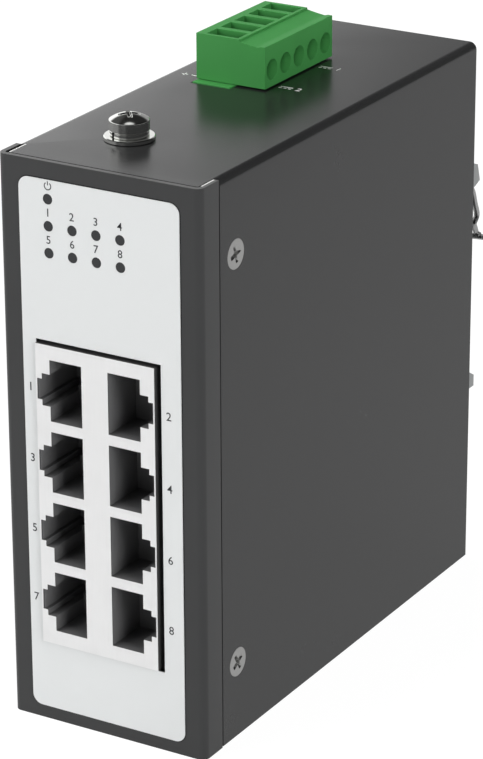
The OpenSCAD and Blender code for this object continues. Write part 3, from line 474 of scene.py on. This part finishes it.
def screw_grid(top, side, span, width, depth, wall):
    """Points of a screw with z up: top(r) is the head's height, side the rest of the profile as (r, z)."""
    edge = side[0][0]
    rings = np.linspace(0, edge, RINGS)
    angle = np.linspace(0, 2 * np.pi, AROUND + 1)
    x = rings[:, None] * np.cos(angle)
    y = rings[:, None] * np.sin(angle)
    z = top(rings)[:, None] - cross_depth(x, y, span, width, depth, wall)
    lower_r = np.array([p[0] for p in side])[:, None]
    lower_z = np.array([p[1] for p in side])[:, None]
    lower = np.stack([lower_r * np.cos(angle), lower_r * np.sin(angle), lower_z + 0 * angle], axis=-1)
    return np.concatenate([np.stack([x, y, z], axis=-1), lower]) * MM


def turned(points, spin, axes, origin):
    """Turns a grid about its own z by spin degrees, then lays x, y and z along the rows of axes at origin."""
    c, s = math.cos(math.radians(spin)), math.sin(math.radians(spin))
    own = points @ np.array([[c, s, 0], [-s, c, 0], [0, 0, 1]])
    return own @ np.array(axes, float) + np.array(origin, float)


print("screw helpers ready")


# %% [markdown]
# ## The countersunk screws
# Four hold the cover at its sides, two the back, and four the rail clip. All have the same flat head, so
# one grid serves them all, and only its length changes. Their places come from the boxes of the CAD
# nodes.

# %% Countersunk screws at the sides, the back and the clip
HEAD_R, THREAD_R, RIM, TIP = 2.85, 1.5, 0.06, 0.4
SIDE_LENGTH, CLIP_LENGTH = 4.6, 4.0
FLAT_CROSS = {"span": 3.2, "width": 0.85, "depth": 0.9, "wall": 0.2}


def flat_screw(length):
    """A 90 degree countersunk head with a small flat rim, a plain shank and a chamfered tip."""
    head = HEAD_R - THREAD_R
    rim = [(HEAD_R - RIM, 0.0), (HEAD_R, -RIM), (HEAD_R - RIM, -2 * RIM)]
    shank = [(THREAD_R, -head), (THREAD_R, TIP - length), (THREAD_R - TIP, -length), (0, -length)]
    return screw_grid(lambda r: 0 * r, rim + shank, **FLAT_CROSS)


inset = HEAD_R * MM
side_grid = flat_screw(SIDE_LENGTH)
low, high = np.array(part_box("side_screws"))
middle_y = (low[1] + high[1]) / 2
right_axes = [(0, 0, -1), (0, 1, 0), (1, 0, 0)]
left_axes = [(0, 0, 1), (0, 1, 0), (-1, 0, 0)]
piece("side_screws_turned", [
    turned(side_grid, 31, right_axes, (high[0], middle_y, low[2] + inset)),
    turned(side_grid, 17, right_axes, (high[0], middle_y, high[2] - inset)),
    turned(side_grid, 10, left_axes, (low[0], middle_y, low[2] + inset)),
    turned(side_grid, 51, left_axes, (low[0], middle_y, high[2] - inset)),
], "housing", finishes["screw_steel"], ("side_screws",))

back_axes = [(1, 0, 0), (0, 0, -1), (0, 1, 0)]
low, high = np.array(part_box("rear_screws"))
piece("rear_screws_turned", [
    turned(side_grid, spin, back_axes, (x, high[1], low[2] + inset))
    for spin, x in ((15, low[0] + inset), (70, high[0] - inset))
], "housing", finishes["screw_steel"], ("rear_screws",))

low, high = np.array(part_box("din_screws"))
clip_grid = flat_screw(CLIP_LENGTH)
places = [(x, high[1], z)
          for z in (low[2] + inset, high[2] - inset) for x in (low[0] + inset, high[0] - inset)]
piece("din_screws_turned", [
    turned(clip_grid, 17 * n, back_axes, place) for n, place in enumerate(places)
], "housing", finishes["screw_steel"], ("din_screws",))


# %% [markdown]
# ## The earth screw and its washers
# The earth point is a domed pan-head screw on a split spring washer and a flat washer. The spring washer
# is a rectangle carried along one turn of a slight helix, cut across, so its two ends stand apart. The
# flat washer is a rounded rectangle carried round a full circle.

# %% Earth screw, spring washer and flat washer
low, high = np.array(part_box("ground_screw"))
axis_x, axis_y = (low[0] + high[0]) / 2, (low[1] + high[1]) / 2
washer_low, washer_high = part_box("ground_flat_washer")
spring_low, spring_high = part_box("ground_spring_washer")
head_r = (high[0] - low[0]) / 2 / MM
seat = spring_high[2] / MM
crown = high[2] / MM
DOME_R, SHANK_R = 6.5, 2.0
EARTH_CROSS = {"span": 3.6, "width": 0.95, "depth": 0.95, "wall": 0.3}
shoulder = crown - DOME_R + math.sqrt(DOME_R ** 2 - head_r ** 2)
upright = [(1, 0, 0), (0, 1, 0), (0, 0, 1)]


def dome(r):
    """A shallow dome: a cap of a sphere whose top is the crown, down to where the rim is rounded off."""
    return crown - DOME_R + np.sqrt(DOME_R ** 2 - r ** 2)


tip = low[2] / MM
earth_rim = [(head_r - 0.1, float(dome(head_r - 0.1))), (head_r - 0.03, shoulder + 0.01),
             (head_r, shoulder - 0.06), (head_r, shoulder - 0.1)]
earth_foot = [(head_r, seat + 0.16), (head_r, seat + 0.12), (head_r - 0.12, seat)]
earth_shank = [(SHANK_R, seat), (SHANK_R, tip), (0, tip)]
earth_grid = screw_grid(dome, earth_rim + earth_foot + earth_shank, **EARTH_CROSS)
piece("ground_screw_turned", [turned(earth_grid, 38, upright, (axis_x, axis_y, 0))], "housing",
      finishes["earth_steel"], ("ground_screw",))


def ring(inner, outer, bottom, top, soft, start, end, rise, around):
    """A rectangle with cut corners carried round an arc from start to end degrees, rising by rise in all."""
    section = np.array([
        (inner, bottom + soft), (inner + soft, bottom), (outer - soft, bottom), (outer, bottom + soft),
        (outer, top - soft), (outer - soft, top), (inner + soft, top), (inner, top - soft),
        (inner, bottom + soft)])
    angle = np.radians(np.linspace(start, end, around + 1))[:, None]
    lift = np.linspace(0, rise, around + 1)[:, None]
    across, height = section[:, 0], section[:, 1]
    return np.stack([across * np.cos(angle), across * np.sin(angle), height + lift], axis=-1) * MM


def capped(tube):
    """Adds to a tube of points a flat fan at each end: the last ring drawn in to its own middle."""
    ends = [np.repeat(tube[k].mean(axis=0)[None], tube.shape[1], axis=0) for k in (0, -1)]
    return np.concatenate([ends[0][None], tube, ends[1][None]])


SPRING_BORE, SPRING_R, WASHER_BORE = 2.05, 3.6, 2.15
GAP_HALF, GAP_AT, RISE = 5.0, -112.0, 0.12
spring_ring = ring(SPRING_BORE, SPRING_R, spring_low[2] / MM, spring_high[2] / MM - RISE, 0.1,
                   GAP_AT + GAP_HALF, GAP_AT + 360 - GAP_HALF, RISE, 120)
piece("ground_spring_washer_split", [turned(capped(spring_ring), 0, upright, (axis_x, axis_y, 0))],
      "housing", finishes["earth_steel"], ("ground_spring_washer",))
washer_r = (washer_high[0] - washer_low[0]) / 2 / MM
flat_ring = ring(WASHER_BORE, washer_r, washer_low[2] / MM, washer_high[2] / MM, 0.14, 0, 360, 0, 160)
piece("ground_flat_washer_round", [turned(flat_ring, 0, upright, (axis_x, axis_y, 0))],
      "housing", finishes["earth_steel"], ("ground_flat_washer",))


# %% [markdown]
# ## Printing
# The label carries the numbers of the lights and of the ports, and a plain power symbol over the first
# light. Each figure starts as a text object, is made a mesh, and is then squeezed to its true height and
# place. The marks on the top, by the power terminal, are a direct-current symbol with a number, built
# from small bars.

# %% Figures and bars as thin solid shapes
INK = 0.03


def figure(text, height, centre, axes):
    """A short text as a thin solid, height millimetres tall, its middle at centre."""
    curve = bpy.data.curves.new("figure", "FONT")
    curve.body = text
    curve.extrude = 0.01
    curve.offset = 0.006
    curve.resolution_u = 6
    words = bpy.data.objects.new("figure", curve)
    bpy.context.scene.collection.objects.link(words)
    flat = bpy.data.meshes.new_from_object(words.evaluated_get(bpy.context.evaluated_depsgraph_get()))
    points = np.empty(len(flat.vertices) * 3)
    flat.vertices.foreach_get("co", points)
    points = points.reshape(-1, 3)
    faces = [tuple(face.vertices) for face in flat.polygons]
    bpy.data.objects.remove(words)
    bpy.data.meshes.remove(flat)
    span = np.ptp(points, axis=0)
    size = np.array([height * span[0] / span[1], height, INK])
    points = (points - points.min(axis=0) - span / 2) / span * size
    return points * MM @ np.array(axes, float) + np.array(centre), faces


def bar(x, y, width, height, centre, axes):
    """A flat bar, its middle at x and y from centre."""
    corner = np.array([(a, b, c) for a in (-0.5, 0.5) for b in (-0.5, 0.5) for c in (-0.5, 0.5)])
    points = corner * np.array([width, height, INK]) + np.array([x, y, 0])
    faces = [(0, 1, 3, 2), (4, 6, 7, 5), (0, 4, 5, 1), (2, 3, 7, 6), (0, 2, 6, 4), (1, 5, 7, 3)]
    return points * MM @ np.array(axes, float) + np.array(centre), faces


def arc(radius, thick, start, end, centre, axes, steps=40):
    """A flat arc of a circle, from start to end degrees."""
    angle = np.radians(np.linspace(start, end, steps + 1))
    rim = np.array([(r, h) for r, h in ((-0.5, -0.5), (0.5, -0.5), (0.5, 0.5), (-0.5, 0.5))])
    reach = radius + rim[:, 0] * thick
    points = np.stack([reach * np.cos(angle)[:, None], reach * np.sin(angle)[:, None],
                       0 * angle[:, None] + rim[:, 1] * INK], axis=-1).reshape(-1, 3)
    faces = [(4 * k + j, 4 * k + (j + 1) % 4, 4 * k + 4 + (j + 1) % 4, 4 * k + 4 + j)
             for k in range(steps) for j in range(4)]
    faces += [(3, 2, 1, 0), tuple(4 * steps + j for j in range(4))]
    return points * MM @ np.array(axes, float) + np.array(centre), faces


def printed(name, shapes, finish):
    """Joins thin shapes into one piece of printing."""
    points, faces = [], []
    for shape_points, shape_faces in shapes:
        start = sum(len(p) for p in points)
        faces += [tuple(v + start for v in face) for face in shape_faces]
        points.append(shape_points)
    mesh = bpy.data.meshes.new(name)
    mesh.from_pydata(np.concatenate(points), [], faces)
    work = bmesh.new()
    work.from_mesh(mesh)
    bmesh.ops.recalc_face_normals(work, faces=work.faces)
    work.to_mesh(mesh)
    work.free()
    return place_piece(name, mesh, "housing", finish)


print("printing helpers ready, ink", INK, "mm thick")


# %% [markdown]
# The label faces forward, so its figures have x to the right and z up. Distances are those of the real
# print: from the left side of the housing and down from its top.

# %% Print the label
panel_low, panel_high = np.array(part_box("front_panel"))
label_low, label_high = np.array(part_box("front_label"))
front_axes = [(1, 0, 0), (0, 0, 1), (0, -1, 0)]


def on_label(across, down):
    """A point on the label's face, from the housing's left side and top, in millimetres."""
    return (panel_low[0] + across * MM, label_low[1], panel_high[2] - down * MM)


FIRST_COLUMN, COLUMN_STEP, LIGHT_ROWS, LIGHT_FIGURE = 10.68, 5.0, (9.4, 14.5), 1.5
shapes = []
for n in range(8):
    place = on_label(FIRST_COLUMN + COLUMN_STEP * (n % 4), LIGHT_ROWS[n // 4])
    shapes.append(figure(str(n + 1), LIGHT_FIGURE, place, front_axes))
PORT_STEP, FIRST_PORT, PORT_COLUMNS, PORT_FIGURE = 13.97, 43.26, (6.0, 35.3), 1.6
for n in range(8):
    place = on_label(PORT_COLUMNS[n % 2], FIRST_PORT + PORT_STEP * (n // 2))
    shapes.append(figure(str(n + 1), PORT_FIGURE, place, front_axes))
POWER_R, STROKE = 0.68, 0.2
power_at = on_label(10.78, 4.46)
shapes.append(arc(POWER_R, STROKE, 125, 415, power_at, front_axes))
shapes.append(bar(0, 0.52, STROKE, 0.75, power_at, front_axes))
printed("front_print", shapes, dark_ink)


# %% [markdown]
# The label lies on the panel with a dark seam round it, where its edge throws no light back. The seam is
# painted shade: four bars and four quarter arcs on the panel's own face, just outside the label.

# %% The painted shade round the label
SEAM_SHADE_W, LABEL_R = 0.2, 2.0
half_x, half_z = (label_high - label_low)[[0, 2]] / MM / 2
label_back = (label_low + label_high) / 2
label_back[1] = panel_low[1]
shapes = []
for side in (-1, 1):
    upright_at, level_at = side * (half_x + SEAM_SHADE_W / 2), side * (half_z + SEAM_SHADE_W / 2)
    shapes.append(bar(upright_at, 0, SEAM_SHADE_W, 2 * (half_z - LABEL_R), label_back, front_axes))
    shapes.append(bar(0, level_at, 2 * (half_x - LABEL_R), SEAM_SHADE_W, label_back, front_axes))
    for end in (-1, 1):
        corner = label_back + np.array([side * (half_x - LABEL_R), 0, end * (half_z - LABEL_R)]) * MM
        start = {(1, 1): 0, (-1, 1): 90, (-1, -1): 180, (1, -1): 270}[side, end]
        shapes.append(arc(LABEL_R + SEAM_SHADE_W / 2, SEAM_SHADE_W, start, start + 90, corner, front_axes, 10))
printed("label_seam_shade", shapes, seam_shade)


# %% [markdown]
# On the top the marks lie flat, so x runs to the right and y towards the back.

# %% Print the top plate
top_axes = [(1, 0, 0), (0, 1, 0), (0, 0, 1)]


def on_top(across, back):
    """A point on the top plate, from the housing's left side and front, in millimetres."""
    return (panel_low[0] + across * MM, panel_low[1] + back * MM, panel_high[2])


SYMBOL_AT, NUMBER_AT, LINE, SPREAD = 24.9, 27.7, 0.36, 0.38
SYMBOL_W, DASH, DASH_STEP = 2.6, 0.62, 0.99
shapes = []
for number, back in (("1", 74.4), ("2", 59.2)):
    supply = on_top(SYMBOL_AT, back)
    shapes.append(bar(0, SPREAD, SYMBOL_W, LINE, supply, top_axes))
    shapes += [bar(n * DASH_STEP, -SPREAD, DASH, LINE, supply, top_axes) for n in (-1, 0, 1)]
    shapes.append(figure(number, PORT_FIGURE, on_top(NUMBER_AT, back), top_axes))
SIGN, SIGN_LINE = 1.3, 0.3
signs = on_top(4.8, 57.5)
shapes += [bar(-1.0, 0, SIGN, SIGN_LINE, signs, top_axes), bar(-1.0, 0, SIGN_LINE, SIGN, signs, top_axes),
           bar(1.1, 0, SIGN, SIGN_LINE, signs, top_axes)]
printed("top_print", shapes, white_ink)


# %% [markdown]
# Two short edges by the front corners are cut after the paint is on, so bare steel shows there, and
# the bright line it catches is painted on as a highlight: the left edge of the top plate, and the inner
# edge of the right flange.

# %% Bare edges with a painted highlight
# Strips of painted highlight on the two bare cut edges.
EDGE_W, PLATE_EDGE, FLANGE_EDGE = 0.3, 1.75, 41.1
shapes = []
for edge, start, end in ((PLATE_EDGE, 1.25, 6.45), (FLANGE_EDGE, 1.8, 5.9)):
    middle = on_top(edge + EDGE_W / 2, (start + end) / 2)
    shapes.append(bar(0, 0, EDGE_W, end - start, middle, top_axes))
printed("bare_cut_glints", shapes, finishes["bare_steel_glint"])


# %% [markdown]
# ## The floor
# The part stands on a plain white floor. To the camera and in reflections the floor is white, while a
# share of it is an ordinary pale surface that takes the part's soft shadow.

# %% Floor
def math_node(tree, operation, first, second):
    """One Math node in a plain node tree, its inputs numbers or sockets."""
    made = tree.nodes.new("ShaderNodeMath")
    made.operation = operation
    for socket, value in zip(made.inputs, (first, second)):
        if isinstance(value, float):
            socket.default_value = value
        else:
            tree.links.new(value, socket)
    return made.outputs[0]


def by_ray(tree, to_camera, in_mirrors):
    """to_camera for rays from the camera, in_mirrors for those by a mirror or glass, 0 for the rest."""
    path = tree.nodes.new("ShaderNodeLightPath")
    glossy, through = path.outputs["Is Glossy Ray"], path.outputs["Is Transmission Ray"]
    mirrored = math_node(tree, "MAXIMUM", glossy, through)
    seen = math_node(tree, "MULTIPLY", path.outputs["Is Camera Ray"], to_camera)
    return math_node(tree, "MAXIMUM", seen, math_node(tree, "MULTIPLY", mirrored, in_mirrors))


REACH = 3.0
SEEN_GLOW, MIRRORED_GLOW = 1.1, 0.62
SEEN_SHARE, MIRRORED_SHARE = 0.88, 0.95
floor_mesh = bpy.data.meshes.new("floor")
floor_corners = [(-REACH, -REACH, 0), (REACH, -REACH, 0), (REACH, REACH, 0), (-REACH, REACH, 0)]
floor_mesh.from_pydata(floor_corners, [], [(0, 1, 2, 3)])
floor = bpy.data.objects.new("floor", floor_mesh)
bpy.context.scene.collection.objects.link(floor)
floor_material = bpy.data.materials.new("floor")
floor_material.use_nodes = True
tree = floor_material.node_tree
tree.nodes.clear()
pale = tree.nodes.new("ShaderNodeBsdfDiffuse")
pale.inputs["Color"].default_value = (0.9, 0.9, 0.9, 1)
glow = tree.nodes.new("ShaderNodeEmission")
blend = tree.nodes.new("ShaderNodeMixShader")
out = tree.nodes.new("ShaderNodeOutputMaterial")
tree.links.new(by_ray(tree, SEEN_GLOW, MIRRORED_GLOW), glow.inputs["Strength"])
tree.links.new(by_ray(tree, SEEN_SHARE, MIRRORED_SHARE), blend.inputs["Fac"])
tree.links.new(pale.outputs[0], blend.inputs[1])
tree.links.new(glow.outputs[0], blend.inputs[2])
tree.links.new(blend.outputs[0], out.inputs["Surface"])
floor_mesh.materials.append(floor_material)
print("floor laid, metres across:", 2 * REACH)


# %% [markdown]
# ## The light
# The world is bright round the horizon and dark overhead, as in a room with a light tent: that is what
# gives dark satin paint its light grey sheen on the top and its dark line along the fold. It is brightest
# on the left, dimmer on the right, and a small patch straight above puts a glint on the earth screw. Four
# smooth steps in the direction that a ray looks in make it. The camera itself sees plain white.

# %% World
world = bpy.data.worlds.new("light tent")
bpy.context.scene.world = world
world.use_nodes = True
tree = world.node_tree
tree.nodes.clear()
coordinates = tree.nodes.new("ShaderNodeTexCoord")
split = tree.nodes.new("ShaderNodeSeparateXYZ")


def smooth_range(*limits):
    """A node that goes smoothly from one value to another: limits are from, to, and the two values."""
    made = tree.nodes.new("ShaderNodeMapRange")
    made.interpolation_type = "SMOOTHSTEP"
    for socket, value in zip(made.inputs[1:5], limits):
        socket.default_value = value
    return made


# By height: the bright walls end about halfway up, and it is nearly dark above them.
fall = smooth_range(0.37, 0.54, 1.0, 0.06)
# From the left to the right: bright, then dimmer, then dimmer again.
flank = smooth_range(-0.58, -0.4, 1.25, 0.34)
beside = smooth_range(0.05, 0.35, 1.0, 0.3)
# Straight above: the small patch.
above = smooth_range(0.955, 0.985, 0.0, 0.9)
tent = tree.nodes.new("ShaderNodeBackground")
backdrop = tree.nodes.new("ShaderNodeBackground")
blend = tree.nodes.new("ShaderNodeMixShader")
path = tree.nodes.new("ShaderNodeLightPath")
out = tree.nodes.new("ShaderNodeOutputWorld")
tree.links.new(coordinates.outputs["Generated"], split.inputs[0])
tree.links.new(split.outputs["Z"], fall.inputs[0])
tree.links.new(split.outputs["X"], flank.inputs[0])
tree.links.new(split.outputs["X"], beside.inputs[0])
tree.links.new(split.outputs["Z"], above.inputs[0])
walls = math_node(tree, "MULTIPLY", fall.outputs[0], flank.outputs[0])
walls = math_node(tree, "MULTIPLY", walls, beside.outputs[0])
tree.links.new(math_node(tree, "ADD", walls, above.outputs[0]), tent.inputs["Strength"])
tree.links.new(path.outputs["Is Camera Ray"], blend.inputs["Fac"])
tree.links.new(tent.outputs[0], blend.inputs[1])
tree.links.new(backdrop.outputs[0], blend.inputs[2])
tree.links.new(blend.outputs[0], out.inputs["Surface"])
for background in (tent, backdrop):
    background.inputs["Color"].default_value = (1, 1, 1, 1)
print("world ready:", world.name)


# %% [markdown]
# Three soft lamps light what isn't mirror-like: the label, the plastics and the floor. Reflections don't
# show them, because the tent already gives the paint and the metal all that they mirror.

# %% Lamps
SUBJECT = np.array([0, 0, 0.06])


def lamp(name, place, size, power):
    """A square soft light at place, turned to the part, that reflections don't show."""
    data = bpy.data.lights.new(name, "AREA")
    data.size = size
    data.energy = power
    made = bpy.data.objects.new(name, data)
    bpy.context.scene.collection.objects.link(made)
    away = np.array(place) - SUBJECT
    away /= np.linalg.norm(away)
    side = np.cross((0, 0, 1), away)
    side /= np.linalg.norm(side)
    rows = np.eye(4)
    rows[:3, 0], rows[:3, 1], rows[:3, 2], rows[:3, 3] = side, np.cross(away, side), away, place
    made.matrix_world = Matrix(rows.tolist())
    made.visible_glossy = False


lamp("overhead", (-0.38, -0.05, 0.78), 0.6, 5.15)
lamp("front_left", (-0.5, -0.9, 0.45), 0.5, 3.75)
lamp("right", (0.95, -0.35, 0.35), 0.5, 6.0)


# %% [markdown]
# ## The camera
# A long lens stands to the right of the front and above it. Its place follows from three angles and a
# distance: the azimuth, the elevation and a slight roll, all about the point that it looks at.

# %% Camera
AZIMUTH, ELEVATION, ROLL = 30.72, 21.786, -0.257
DISTANCE, LOOK_AT, LENS = 594.301, (29.09, -56.575, 76.849), 162.527
camera_data = bpy.data.cameras.new("camera")
camera_data.lens = LENS
camera_data.sensor_width = 36.0
camera_data.clip_end = 20
azimuth, elevation, roll = (math.radians(v) for v in (AZIMUTH, ELEVATION, ROLL))
right = np.array([math.cos(azimuth), math.sin(azimuth), 0.0])
outwards = np.array([math.sin(azimuth), -math.cos(azimuth), 0.0])
back = outwards * math.cos(elevation) + np.array([0, 0, math.sin(elevation)])
up = np.cross(back, right)
rolled_right = right * math.cos(roll) + up * math.sin(roll)
rolled_up = up * math.cos(roll) - right * math.sin(roll)
rows = np.eye(4)
rows[:3, 0], rows[:3, 1], rows[:3, 2] = rolled_right, rolled_up, back
rows[:3, 3] = (np.array(LOOK_AT) + back * DISTANCE) * MM
camera = bpy.data.objects.new("camera", camera_data)
bpy.context.scene.collection.objects.link(camera)
camera.matrix_world = Matrix(rows.tolist())
bpy.context.scene.camera = camera
bpy.context.scene.view_settings.view_transform = "Standard"
print("camera at", [round(float(v), 4) for v in rows[:3, 3]])


# %% [markdown]
